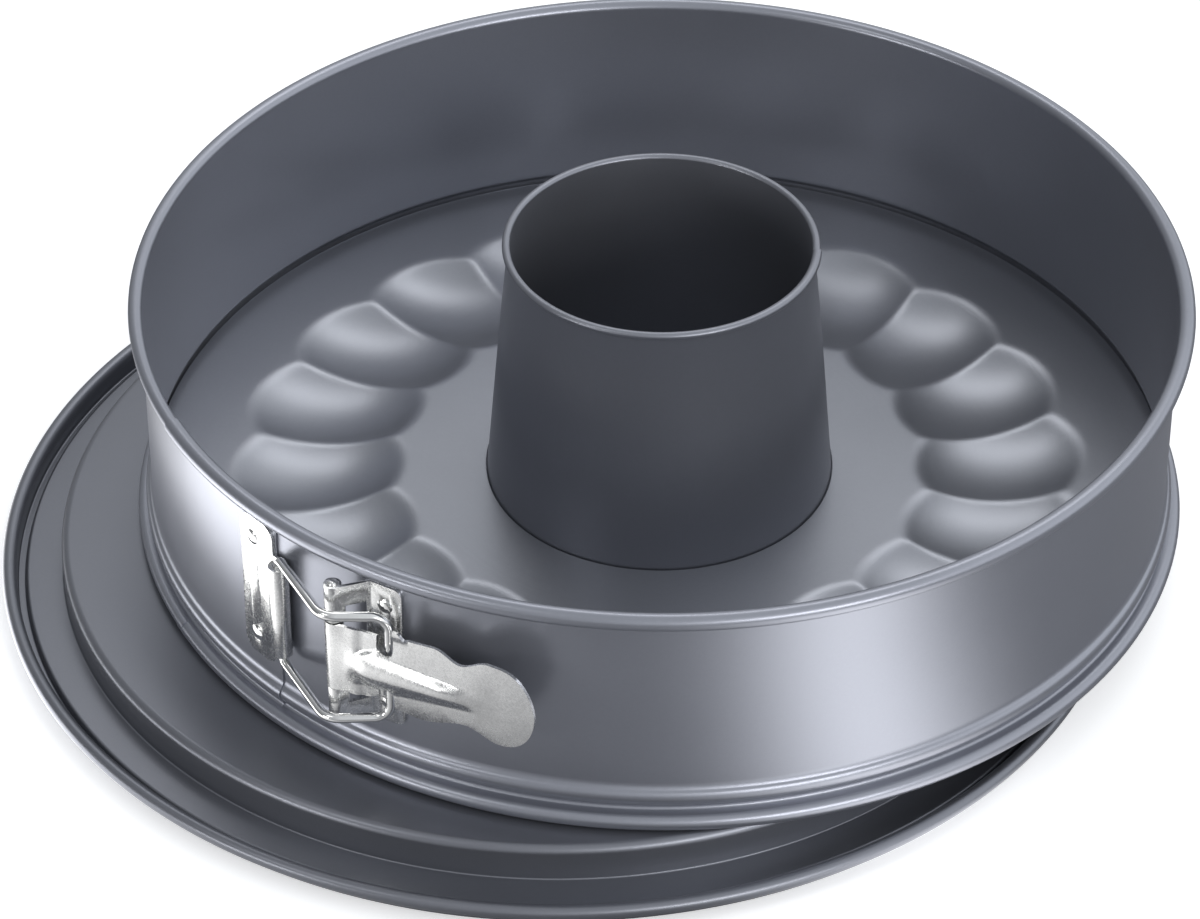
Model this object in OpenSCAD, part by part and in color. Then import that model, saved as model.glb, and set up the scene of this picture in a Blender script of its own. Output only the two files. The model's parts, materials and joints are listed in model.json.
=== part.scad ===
// Springform ring-cake pan standing on its loose flat base.
// The split ring holds a fluted base with a centre tube, and a lever latch draws the ring tight.
// Sheet pieces are drawn as bent strips in section, so every bend keeps the sheet's thickness.

/* [Flat base] */
// Clearance between the raised disc and the wall of the ring that fits round it
disc_gap = 1.2; // [0.6:0.1:4]
// Height of the raised disc above the table
disc_h = 13.5; // [10:0.1:18]
// Rounding of the disc's upper edge, to the outside of the sheet
disc_round = 2.4; // [1:0.1:4]
// Height of the flat band round the disc
band_h = 2.9; // [2.6:0.1:4]
// Width of the flat band round the disc
band_w = 10.5; // [7:0.1:14]
// Clear width of the drip gutter outside the band
gutter_w = 2.3; // [2:0.1:4]
// Outside radius of the curled rim in section
rim_curl_r = 2.0; // [1.4:0.1:2.5]
// Height of the curled rim above the table
rim_h = 7.2; // [6.5:0.1:9]
// Thickness of the base's sheet
base_t = 0.6; // [0.5:0.05:1]

/* [Ring] */
// Inside radius of the ring's wall, half the baking diameter
ring_r = 140; // [120:0.5:150]
// Height of the ring over both curls
ring_h = 70.6; // [60:0.1:90]
// Thickness of the ring's sheet
ring_t = 0.5; // [0.4:0.05:0.8]
// Outside radius of the top and bottom curls in section, all round
curl_r = 2.15; // [1.8:0.05:2.3]
// How much larger the curls are where they take in the other end
curl_flare = 0.2; // [0.1:0.05:0.3]
// How much smaller the curls are on the end that is taken in
curl_tuck = 0.25; // [0.1:0.05:0.4]
// Outside radius of the bead that holds the base, past the wall
bead_out = 2.3; // [1.5:0.1:3]
// Rounding of the bead, to the middle of the sheet
bead_round = 2.9; // [2.4:0.1:3.5]
// Rounding of the flare from the bead into the wall
flare_round = 3.5; // [2:0.1:5]
// Rounding of the neck under the bead
neck_round = 1.2; // [1:0.1:2]
// How far the neck stands out from the wall
neck_out = 0.2; // [0:0.05:0.5]
// Distance of the bottom curl's middle outside the wall's inner face
foot_curl_out = 2.8; // [2.5:0.1:3.5]
// Length of wall that the two ends of the band share
lap_w = 47.16; // [36:0.1:60]
// How far the lap runs on past the hinge plate
lap_past = 0.63; // [0.3:0.01:2]

/* [Fluted base] */
// Clearance between the fluted base's edge and the inside of the bead
plate_gap = 0.6; // [0.5:0.05:1.2]
// How far the cake floor lies below the middle of the bead
floor_drop = 0.3; // [0:0.05:0.6]
// Thickness of the fluted base and the tube
plate_t = 0.6; // [0.5:0.05:1]
// Number of hollows round the base
lobe_count = 20; // [12:1:24]
// Radius of the circle of hollow centres
lobe_pitch_r = 95; // [85:0.5:100]
// Half width of one hollow at the floor
lobe_half = 23.4; // [18:0.1:26]
// Depth of the hollows
lobe_depth = 6; // [4:0.1:6.8]
// Angle of the first hollow
lobe_turn = 1.1; // [0:0.1:18]

/* [Centre tube] */
// Outside radius of the tube at the cake floor
tube_foot_r = 48; // [40:0.1:55]
// Inside radius of the tube at the top
tube_top_r = 40.8; // [30:0.1:45]
// Height of the tube above the ring's foot
tube_h = 83.7; // [72:0.1:100]
// Outside radius of the curl round the tube's top in section
tube_curl_r = 1.1; // [0.9:0.05:1.5]
// Width of the flange crimped under the fluted base
tube_flange_w = 4.5; // [3:0.1:8]
// Angle of the lapped seam's visible edge
seam_angle = -5; // [-20:1:20]
// Angle over which the seam's edges lap
seam_lap = 10; // [6:1:14]

/* [Latch] */
// Thickness of the latch plates
latch_t = 0.9; // [0.8:0.05:1]
// Width of the hinge plate along the wall
hinge_w = 12.9; // [11:0.1:14]
// Height of wall left free above the hinge plate, up to the curl
hinge_above = 2.15; // [1:0.05:6]
// Height of wall left free below the hinge plate, down to the flare
hinge_below = 4.9; // [1:0.1:8]
// Corner rounding of the hinge plate
hinge_corner = 4; // [2:0.5:6]
// Distance along the wall from the hinge plate's edge to the knuckle
knuckle_past = 4.08; // [3.8:0.01:4.6]
// Distance along the wall from the knuckle to the pivot pin
knuckle_to_pin = 21.26; // [20:0.01:23]
// Outside radius of the knuckle
knuckle_r = 2.7; // [2.3:0.05:3]
// Length of the knuckle
knuckle_h = 29; // [24:0.5:31]
// Radius of the bail's wire
wire_r = 1.3; // [1:0.05:1.5]
// Distance of each arm of the bail past the knuckle's end
arm_past = 2.5; // [2.4:0.1:3.5]
// Distance of the bail's elbow outside the ring's inner face
elbow_out = 14.4; // [13:0.1:16]
// Distance along the wall from the pivot pin to the bail's elbow
elbow_past = 1.47; // [0:0.01:3]
// Rounding of the elbow
elbow_round = 5; // [3:0.5:7]
// Rounding of the bail's corners at the knuckle
knuckle_round = 2.3; // [1.8:0.1:2.5]
// Rounding of the bail's corners at the lever
catch_round = 4.5; // [3:0.5:6]
// Radius of the pivot pin
pin_r = 1.4; // [1.2:0.05:1.6]
// How far the pivot pin stands out of the bracket at each end
pin_proud = 0.7; // [0.3:0.1:2]
// Angle of the pivot pin round the ring
pin_angle = 235.2; // [220:0.1:250]
// Distance of the pivot pin outside the ring's inner face
pin_out = 7.3; // [6.8:0.1:8.5]
// Distance along the wall from the pivot pin to where the bracket meets it
ramp_w = 7.57; // [7.2:0.01:9]
// Width of the bracket's flange along the wall
flange_w = 8.83; // [8:0.01:12]
// How much lower the bracket is than the hinge plate
bracket_less = 0.9; // [0:0.1:3]
// Height of the window in the bracket
window_h = 32; // [26:0.5:34]
// Corner rounding of the bracket
bracket_corner = 2.5; // [1:0.5:4]
// Height of the lever's barrel
barrel_h = 21.4; // [18:0.1:22]
// How far the shut lever leans in from the ring's tangent at the pin
lever_lean = 8.5; // [5:0.1:9]
// Length of the lever from the pin
lever_len = 58; // [52:0.5:62]
// Rounding of the lever across its face
lever_crown = 55; // [20:1:80]
// Distance from the pin to the bail's end in the lever's notches
catch_at = 15.5; // [15:0.5:19]
// Play of the bail's wire in the notches
notch_play = 2.4; // [1.6:0.1:3]
// Height of the neck left between the notches
neck_h = 10.4; // [8:0.2:12]
// Clearance between the ear beside the upper notch and the bail's arm
ear_gap = 1.1; // [0.8:0.1:3]
// Width of the ear
ear_w = 3; // [2:0.1:4]
// Distance of the hinge plate's rivets from its left edge
hinge_rivet_in = 4.92; // [4:0.01:7]
// Distance of the bracket's rivets from its right edge
bracket_rivet_in = 4.9; // [3.5:0.01:5.2]
// Distance between the two rivets of a plate
rivet_gap = 32; // [30:0.5:34]
// Radius of a rivet's head
rivet_head_r = 2.3; // [2:0.1:2.6]
// Height of a rivet's head
rivet_head_h = 0.7; // [0.5:0.05:1]
// Radius of a rivet's shank
rivet_r = 1.3; // [1:0.05:1.5]

/* [Set] */
// How far the pan stands to the right of the flat base's axis
pan_right = 27.2; // [0:0.1:30]
// How far the pan stands behind the flat base's axis
pan_back = 11.5; // [0:0.1:20]
// Clearance where one piece rests on another
seat = 0.3; // [0.2:0.05:0.4]

/* [Hidden] */
$fn = 96;

// Angle between the corners that stand for a bend
bend_step = 15;
// The same on the wide bends that follow the ring's wall
wall_step = 1;
// Clearances: riveted and crimped joints, turning joints
snug = 0.02;
running = 0.07;
// Overrun of a cutting shape past what it cuts
over = 1;
// How far neighbouring stretches of one piece run into each other, in millimetres and in degrees
weld = 0.05;
weld_angle = 0.02;

// Inside radius of the tube's tight bend, and clearance of the hole that it passes
tight = 0.3;
tube_gap = 0.35;

// Rim and foot radii, which set the footprint of the set
disc_r = ring_r - disc_gap;
gutter_in_r = disc_r + band_w;
gutter_out_r = gutter_in_r + gutter_w;
base_rim_r = gutter_out_r + 2 * rim_curl_r;
foot_r = ring_r + foot_curl_out + curl_r + curl_flare;
// The origin is under the middle of the whole set, on the table
base_x = -(pan_right + foot_r - base_rim_r) / 2;
base_y = -(pan_back + foot_r - base_rim_r) / 2;
pan_x = base_x + pan_right;
pan_y = base_y + pan_back;
pan_z = disc_h + seat;

// Ring section: heights above the foot
flange_top = 2 * (curl_r + curl_flare);
neck_z = flange_top - ring_t / 2 + neck_round;
bead_mid_out = bead_out - ring_t / 2;
bead_x = bead_mid_out - bead_round;
bead_drop = sqrt(pow(bead_round + neck_round, 2) - pow(neck_out + ring_t / 2 + neck_round - bead_x, 2));
bead_z = neck_z + bead_drop;
flare_rise = sqrt(pow(bead_round + flare_round, 2) - pow(ring_t / 2 + flare_round - bead_x, 2));
flare_z = bead_z + flare_rise;
flare_angle = atan2(flare_rise, ring_t / 2 + flare_round - bead_x);
neck_angle = atan2(bead_drop, neck_out + ring_t / 2 + neck_round - bead_x);
top_curl_z = ring_h - curl_r - curl_flare;

// Fluted base: its edge lies in the bead
plate_r = ring_r + bead_out - ring_t - plate_gap;
floor_z = bead_z - floor_drop;
lobe_round = (lobe_half * lobe_half + lobe_depth * lobe_depth) / (2 * lobe_depth);

// Tube: slope of the wall, from the cake floor to the curl
tube_curl_z = tube_h - tube_curl_r;
tube_lean = atan2(tube_foot_r - tube_top_r - plate_t, tube_curl_z - floor_z);
tube_bend = plate_t / 2 + tight;
tube_flange_z = floor_z - plate_t - snug - plate_t / 2;
tube_hole_r = tube_foot_r + tube_gap;

// Latch: places in plan, from the pan's axis
function polar(r, a) = [r * cos(a), r * sin(a)];
function arc(length, r = ring_r) = length / r * 180 / PI;
hinge_low = flare_z + hinge_below;
hinge_high = ring_h - flange_top - hinge_above;
hinge_h = hinge_high - hinge_low;
latch_z = (hinge_low + hinge_high) / 2;
bracket_h = hinge_h - bracket_less;
hinge_in_r = ring_r + 2 * ring_t + snug;
bracket_in_r = ring_r + ring_t + snug;
bracket_bend = pin_angle + arc(ramp_w);
bracket_end = bracket_bend + arc(flange_w, bracket_in_r);
bracket_rivet_angle = bracket_end - arc(bracket_rivet_in, bracket_in_r);
knuckle_angle = pin_angle - arc(knuckle_to_pin);
hinge_to = knuckle_angle - arc(knuckle_past, hinge_in_r);
hinge_from = hinge_to - arc(hinge_w, hinge_in_r);
hinge_rivet_angle = hinge_from + arc(hinge_rivet_in, hinge_in_r);
lap_end = hinge_to + arc(lap_past);
lap_angle = arc(lap_w);
lap_start = lap_end - lap_angle;
knuckle_ring_r = hinge_in_r + knuckle_r + weld;
knuckle_at = polar(knuckle_ring_r, knuckle_angle);
pin_at = polar(ring_r + pin_out, pin_angle);
pin_h = bracket_h + 2 * pin_proud;
barrel_r = pin_r + running + latch_t + 5 * snug;
loop_r = pin_r + snug + latch_t;
ramp_off = loop_r - weld - latch_t / 2;
lever_dir = pin_angle - 270 + lever_lean;
lever_face = barrel_r;
notch_w = 2 * wire_r + notch_play;
catch_back = lever_face - latch_t - seat - wire_r - weld * 10;
catch_point = pin_at + polar(catch_at, lever_dir) + polar(catch_back, lever_dir - 90);
elbow_at = polar(ring_r + elbow_out, pin_angle + arc(elbow_past));
bail_h = knuckle_h + 2 * arm_past;
ear_h = bail_h / 2 - wire_r - ear_gap;
arm_one = atan2(elbow_at[1] - knuckle_at[1], elbow_at[0] - knuckle_at[0]);
arm_two = atan2(catch_point[1] - elbow_at[1], catch_point[0] - elbow_at[0]);
elbow_turn = arm_two - arm_one;
elbow_cut = elbow_round * tan(elbow_turn / 2);

// Bent sheet in section. A bend is [x, y, radius to the sheet's middle, from angle, to angle],
// and a plain end is [x, y, 0, direction].
function bend_side(b, t, side) =
    b[2] == 0 ? [[b[0] - side * t / 2 * sin(b[3]), b[1] + side * t / 2 * cos(b[3])]] :
    let (turn = b[4] - b[3],
         r = b[2] - side * sign(turn) * t / 2,
         n = max(2, ceil(abs(turn) / (b[2] > 20 ? wall_step : bend_step))))
    [for (i = [0:n]) [b[0], b[1]] + polar(r, b[3] + turn * i / n)];
function sheet_side(bends, t, side) = [for (b = bends) each bend_side(b, t, side)];
function reversed(points) = [for (i = [len(points) - 1:-1:0]) points[i]];

module sheet(bends, t) {
    polygon(concat(sheet_side(bends, t, 1), reversed(sheet_side(bends, t, -1))));
}

module rounded_rect(w, h, r) {
    square([w - 2 * r, h], center = true);
    square([w, h - 2 * r], center = true);
    for (x = [-1, 1], y = [-1, 1])
        translate([x * (w / 2 - r), y * (h / 2 - r)]) circle(r, $fn = 48);
}

// Places: the flat base's axis, the pan's axis at its foot, and the latch's middle
module at_base() translate([base_x, base_y, 0]) children();
module at_pan() translate([pan_x, pan_y, pan_z]) children();
module at_latch() translate([pan_x, pan_y, pan_z + latch_z]) children();

module flat_base() {
    disc_bend = disc_round - base_t / 2;
    fold = 0.8;
    low = base_t / 2;
    band = band_h - base_t / 2;
    wall = disc_r - base_t / 2;
    inner = gutter_in_r - base_t / 2;
    outer = gutter_out_r + base_t / 2;
    color([0.27, 0.28, 0.30]) at_base() rotate_extrude($fn = 180) sheet([
        [0, disc_h - base_t / 2, 0, 0],
        [wall - disc_bend, disc_h - disc_round, disc_bend, 90, 0],
        [wall + fold, band + fold, fold, 180, 270],
        [inner - fold, band - fold, fold, 90, 0],
        [inner + fold, low + fold, fold, 180, 270],
        [outer - fold, low + fold, fold, 270, 360],
        [outer - base_t / 2 + rim_curl_r, rim_h - rim_curl_r, rim_curl_r - base_t / 2, 180, -130]
    ], base_t);
}

// The band's section from its neck up to the wall, moved out by the lap's offset
function wall_bends(out) = [
    [ring_r + out + ring_t / 2 + neck_out + neck_round, neck_z, neck_round, 270, 180 - neck_angle],
    [ring_r + out + bead_x, bead_z, bead_round, -neck_angle, flare_angle],
    [ring_r + out + ring_t / 2 + flare_round, flare_z, flare_round, 180 + flare_angle, 180]
];

function band_bends(out, curl) = concat(
    [[ring_r + out + foot_curl_out, flange_top - curl, curl - ring_t / 2, -200, 90]],
    wall_bends(out),
    [[ring_r + out + curl, top_curl_z, curl - ring_t / 2, 180, -130]]
);

module band_zone(from, to, out, curl) {
    rotate([0, 0, from]) rotate_extrude(angle = to - from + weld_angle, $fn = 180)
        sheet(band_bends(out, curl), ring_t);
}

module ring_band() {
    tuck_from = lap_start + 360 - 90;
    tuck_steps = 3;
    tuck_step = 30;
    under = ring_t - weld;
    color([0.42, 0.43, 0.47]) at_pan() difference() {
        union() {
            // One end keeps its wall against the plates and its curls outside
            band_zone(lap_start, tuck_from, 0, curl_r + curl_flare);
            // The other end draws out by one sheet, its curls smaller, until it is taken in
            for (i = [1:tuck_steps])
                band_zone(tuck_from + tuck_step * (i - 1), tuck_from + tuck_step * i,
                          (ring_t + weld) * i / tuck_steps,
                          curl_r + curl_flare - (curl_tuck + curl_flare) * i / tuck_steps);
            // Its wall lies over the first end's wall
            rotate([0, 0, lap_start]) rotate_extrude(angle = lap_angle, $fn = 180)
                sheet(concat(wall_bends(under), [[ring_r + under + ring_t / 2, top_curl_z - seat, 0, 90]]),
                      ring_t);
        }
        // Rivet holes: through the outer end only at the hinge plate, through the wall at the bracket
        for (side = [-1, 1]) translate([0, 0, latch_z + side * rivet_gap / 2]) {
            rotate([0, 0, hinge_rivet_angle]) translate([ring_r + ring_t, 0, 0])
                rotate([0, 90, 0]) cylinder(r = rivet_r + snug, h = ring_t + over, $fn = 48);
            rotate([0, 0, bracket_rivet_angle]) translate([ring_r - over, 0, 0])
                rotate([0, 90, 0]) cylinder(r = rivet_r + snug, h = ring_t + 2 * over, $fn = 48);
        }
    }
}

module lobes(extra) {
    for (i = [0:lobe_count - 1])
        rotate([0, 0, lobe_turn + i * 360 / lobe_count])
            translate([lobe_pitch_r, 0, floor_z + lobe_round - lobe_depth])
                sphere(lobe_round + extra, $fn = 128);
}

module fluted_base() {
    color([0.36, 0.37, 0.40]) at_pan() difference() {
        union() {
            translate([0, 0, floor_z - plate_t]) cylinder(r = plate_r, h = plate_t, $fn = 180);
            intersection() {
                lobes(plate_t);
                translate([0, 0, -over])
                    cylinder(r = plate_r - 2 * over, h = floor_z - plate_t / 2 + over, $fn = 180);
            }
        }
        lobes(0);
        translate([0, 0, -over]) cylinder(r = tube_hole_r, h = floor_z + 2 * over, $fn = 180);
    }
}

// The tube's section, from the flange under the base up the wall to the curl
module tube_section() {
    foot_mid = tube_foot_r - plate_t / 2 / cos(tube_lean);
    sheet([
        [tube_foot_r + tube_flange_w, tube_flange_z, 0, 180],
        [foot_mid + tube_bend, tube_flange_z + tube_bend, tube_bend, 270, 180 - tube_lean],
        [tube_top_r + tube_curl_r, tube_curl_z, tube_curl_r - plate_t / 2, 180 - tube_lean, -75]
    ], plate_t);
}

module centre_tube() {
    lap_foot = floor_z + plate_t;
    lap_top = tube_curl_z - 2 * tube_curl_r;
    slope = tan(tube_lean);
    color([0.38, 0.39, 0.43]) at_pan() union() {
        rotate_extrude($fn = 180) tube_section();
        // The seam: one edge of the sheet lies over the other, in the wall and in the curl
        rotate([0, 0, seam_angle - seam_lap]) rotate_extrude(angle = seam_lap, $fn = 180) polygon([
            [tube_foot_r - plate_t / 2, lap_foot],
            [tube_foot_r + plate_t / 2 - slope * plate_t, lap_foot],
            [tube_foot_r + plate_t / 2 - slope * (lap_top - floor_z), lap_top],
            [tube_foot_r - plate_t / 2 - slope * (lap_top - floor_z), lap_top]
        ]);
        rotate([0, 0, seam_angle - seam_lap]) rotate_extrude(angle = seam_lap, $fn = 180)
            translate([tube_top_r + tube_curl_r, tube_curl_z]) circle(tube_curl_r + plate_t / 3, $fn = 32);
    }
}

// A plate cut to a flat outline and bent round the wall; the outline's middle is at the angle
module wall_plate(r_in, middle) {
    intersection() {
        difference() {
            cylinder(r = r_in + latch_t, h = hinge_h + over, center = true, $fn = 180);
            cylinder(r = r_in, h = hinge_h + 2 * over, center = true, $fn = 180);
        }
        rotate([0, 0, middle]) translate([r_in - pin_out, 0, 0]) rotate([90, 0, 90])
            linear_extrude(2 * pin_out) children();
    }
}

module hinge_plate() {
    middle = (hinge_from + hinge_to) / 2;
    reach = knuckle_ring_r * sin(knuckle_angle - middle);
    color([0.80, 0.80, 0.78]) at_latch() difference() {
        union() {
            wall_plate(hinge_in_r, middle) {
                rounded_rect(hinge_w, hinge_h, hinge_corner);
                translate([0, -knuckle_h / 2]) square([reach, knuckle_h]);
            }
            translate(knuckle_at) cylinder(r = knuckle_r, h = knuckle_h, center = true, $fn = 64);
        }
        translate(knuckle_at) cylinder(r = wire_r + running, h = knuckle_h + over, center = true, $fn = 64);
        for (side = [-1, 1])
            rotate([0, 0, hinge_rivet_angle]) translate([hinge_in_r - over, 0, side * rivet_gap / 2])
                rotate([0, 90, 0]) cylinder(r = rivet_r + snug, h = latch_t + 2 * over, $fn = 48);
    }
}

// A rivet along X: its domed head sits on x = 0 and its shank runs inwards by grip
module rivet(grip, inner_head) {
    dome_r = (rivet_head_r * rivet_head_r + rivet_head_h * rivet_head_h) / (2 * rivet_head_h);
    rotate([0, 90, 0]) {
        intersection() {
            translate([0, 0, rivet_head_h - dome_r]) sphere(dome_r, $fn = 96);
            cylinder(r = rivet_head_r, h = rivet_head_h, $fn = 48);
        }
        translate([0, 0, -grip]) cylinder(r = rivet_r, h = grip, $fn = 48);
        if (inner_head)
            translate([0, 0, -grip - 0.4]) cylinder(r = rivet_head_r, h = 0.4, $fn = 48);
    }
}

module hinge_rivet(side) {
    seat_r = hinge_in_r + latch_t + snug;
    color([0.86, 0.86, 0.84]) at_latch()
        rotate([0, 0, hinge_rivet_angle]) translate([seat_r, 0, side * rivet_gap / 2])
            rivet(seat_r - ring_r - ring_t - snug, false);
}

module bracket_rivet(side) {
    seat_r = bracket_in_r + latch_t + snug;
    color([0.86, 0.86, 0.84]) at_latch()
        rotate([0, 0, bracket_rivet_angle]) translate([seat_r, 0, side * rivet_gap / 2])
            rivet(seat_r - ring_r + 2 * snug, true);
}

module hinge_rivet_upper() hinge_rivet(1);
module hinge_rivet_lower() hinge_rivet(-1);
module bracket_rivet_upper() bracket_rivet(1);
module bracket_rivet_lower() bracket_rivet(-1);

module bracket() {
    fold = 1.2;
    fold_at = polar(bracket_in_r + latch_t / 2 + fold, bracket_bend);
    ramp = pin_at - fold_at;
    ramp_dir = (atan2(ramp[1], ramp[0]) + 360) % 360 + asin((fold + ramp_off) / norm(ramp));
    ramp_len = sqrt(ramp * ramp - pow(fold + ramp_off, 2));
    ramp_end = pin_at + polar(ramp_off, ramp_dir + 90);
    loop_gap = barrel_h + 2 * seat;
    clear_r = loop_r + seat;
    room = 8 * pin_out;
    color([0.78, 0.78, 0.76]) at_latch() difference() {
        intersection() {
            union() {
                translate([0, 0, -bracket_h / 2]) linear_extrude(bracket_h) sheet([
                    [0, 0, bracket_in_r + latch_t / 2, bracket_end + arc(over), bracket_bend],
                    [fold_at[0], fold_at[1], fold, bracket_bend - 180, ramp_dir - 90],
                    [ramp_end[0], ramp_end[1], 0, ramp_dir]
                ], latch_t);
                translate(pin_at) cylinder(r = loop_r, h = bracket_h, center = true, $fn = 64);
            }
            // Rounds the two corners at the right edge
            rotate([0, 0, bracket_end]) translate([bracket_in_r - pin_out, -room / 2, 0])
                rotate([90, 0, 90]) linear_extrude(4 * pin_out) rounded_rect(room, bracket_h, bracket_corner);
        }
        // The pin's bore through both loops
        translate(pin_at) cylinder(r = pin_r + snug, h = bracket_h + over, center = true, $fn = 64);
        // Room for the lever's barrel between the loops
        translate([pin_at[0], pin_at[1], 0]) rotate([0, 0, ramp_dir])
            cube([2 * clear_r + over, 2 * clear_r + over, loop_gap], center = true);
        // Window beside the barrel
        translate([pin_at[0], pin_at[1], 0]) rotate([0, 0, ramp_dir])
            translate([-ramp_len + fold / 2, -clear_r, -window_h / 2])
                cube([ramp_len - fold / 2 - clear_r, 2 * clear_r, window_h]);
        for (side = [-1, 1])
            rotate([0, 0, bracket_rivet_angle]) translate([bracket_in_r - over, 0, side * rivet_gap / 2])
                rotate([0, 90, 0]) cylinder(r = rivet_r + snug, h = latch_t + 2 * over, $fn = 48);
    }
}

module pivot_pin() {
    chamfer = 0.4;
    color([0.82, 0.82, 0.80]) at_latch() translate(pin_at) rotate_extrude($fn = 64) polygon([
        [0, -pin_h / 2], [pin_r - chamfer, -pin_h / 2], [pin_r, chamfer - pin_h / 2],
        [pin_r, pin_h / 2 - chamfer], [pin_r - chamfer, pin_h / 2], [0, pin_h / 2]
    ]);
}

// A straight run of wire from a point on along the direction, welded into the bends at both ends
module wire_run(from, az, length) {
    translate([from[0], from[1], 0]) rotate([0, 90, az]) translate([0, 0, -weld])
        cylinder(r = wire_r, h = length + 2 * weld, $fn = 64);
}

// A bend of wire about Z, a hair thicker than the runs so that they end inside it
module wire_bend(r, turn) {
    rotate_extrude(angle = turn, $fn = 96) translate([r, 0]) circle(wire_r + weld / 10, $fn = 64);
}

// Upper half of the bail: half of both upright ends and the arm between them
module bail_half() {
    arm_z = bail_h / 2;
    elbow_from = elbow_at - polar(elbow_cut, arm_one);
    elbow_to = elbow_at + polar(elbow_cut, arm_two);
    elbow_mid = elbow_from + polar(elbow_round, arm_one + 90);
    first_from = knuckle_at + polar(knuckle_round, arm_one);
    second_to = catch_point - polar(catch_round, arm_two);
    translate([first_from[0], first_from[1], arm_z - knuckle_round]) rotate([90, 0, arm_one])
        rotate([0, 0, 90]) wire_bend(knuckle_round, 90);
    translate([0, 0, arm_z]) wire_run(first_from, arm_one, norm(elbow_from - first_from));
    translate([elbow_mid[0], elbow_mid[1], arm_z]) rotate([0, 0, arm_one - 90])
        wire_bend(elbow_round, elbow_turn);
    translate([0, 0, arm_z]) wire_run(elbow_to, arm_two, norm(second_to - elbow_to));
    translate([second_to[0], second_to[1], arm_z - catch_round]) rotate([90, 0, arm_two])
        wire_bend(catch_round, 90);
}

module bail() {
    color([0.88, 0.88, 0.86]) at_latch() {
        bail_half();
        mirror([0, 0, 1]) bail_half();
        translate(knuckle_at)
            cylinder(r = wire_r, h = bail_h - 2 * knuckle_round + 2 * weld, center = true, $fn = 64);
        translate(catch_point)
            cylinder(r = wire_r, h = bail_h - 2 * catch_round + 2 * weld, center = true, $fn = 64);
    }
}

// Half height of the lever along its length: stations joined by smooth waves, then a round end
function ease(u) = (1 - cos(180 * u)) / 2;
function between(a, b, u) = a + (b - a) * ease(u);
lever_stations = [[0, 10.7], [23, 12.0], [28, 12.3], [37, 9.9], [47.5, 11.6]];
function lever_half(x) =
    let (i = max([for (k = [0:len(lever_stations) - 2]) x >= lever_stations[k][0] ? k : 0]),
         a = lever_stations[i],
         b = lever_stations[i + 1])
    between(a[1], b[1], (x - a[0]) / (b[0] - a[0]));

module lever_outline() {
    last = lever_stations[len(lever_stations) - 1];
    tip = lever_len - last[0];
    neck_end = lever_stations[1][0] + over;
    neck_half = barrel_h / 2;
    top = concat([for (x = [0:2:last[0]]) [x, x < neck_end ? min(lever_half(x), neck_half) : lever_half(x)]],
                 [for (a = [80:-10:0]) [last[0] + tip * cos(a), last[1] * pow(sin(a), 0.9)]]);
    polygon(concat(top, [for (p = reversed(top)) [p[0], -p[1]]]));
    translate([catch_at + notch_w / 2, 0]) {
        square([ear_w, ear_h - ear_w / 2]);
        translate([ear_w / 2, ear_h - ear_w / 2]) circle(ear_w / 2, $fn = 32);
    }
}

module lever() {
    color([0.84, 0.84, 0.82]) at_latch() translate(pin_at) rotate([0, 0, lever_dir]) difference() {
        union() {
            cylinder(r = barrel_r, h = barrel_h, center = true, $fn = 64);
            intersection() {
                translate([0, lever_crown - lever_face, 0]) rotate([0, 90, 0]) difference() {
                    cylinder(r = lever_crown, h = lever_len + over, $fn = 180);
                    translate([0, 0, -over])
                        cylinder(r = lever_crown - latch_t, h = lever_len + 3 * over, $fn = 180);
                }
                translate([0, lever_face, 0]) rotate([90, 0, 0]) linear_extrude(4 * lever_face)
                    lever_outline();
            }
        }
        cylinder(r = pin_r + running, h = 3 * barrel_h, center = true, $fn = 64);
        for (side = [-1, 1]) translate([catch_at, 3 * lever_face, 0]) rotate([90, 0, 0])
            linear_extrude(6 * lever_face) {
                translate([0, side * (neck_h + notch_w) / 2]) circle(notch_w / 2, $fn = 48);
                translate([0, side * (neck_h + notch_w + barrel_h) / 2])
                    square([notch_w, barrel_h], center = true);
            }
    }
}

flat_base();
ring_band();
fluted_base();
centre_tube();
hinge_plate();
hinge_rivet_upper();
hinge_rivet_lower();
bracket();
bracket_rivet_upper();
bracket_rivet_lower();
pivot_pin();
bail();
lever();
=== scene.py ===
# %% [markdown]
# # A springform ring-cake pan
#
# The set is a cake pan of dark coated sheet: a split ring, a fluted base with a centre tube, and a second,
# flat base. A bright lever latch closes the ring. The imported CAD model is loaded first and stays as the
# fixed frame: each piece made here lies where its CAD node is.

# %% Load the frame
import json
import math

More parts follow.
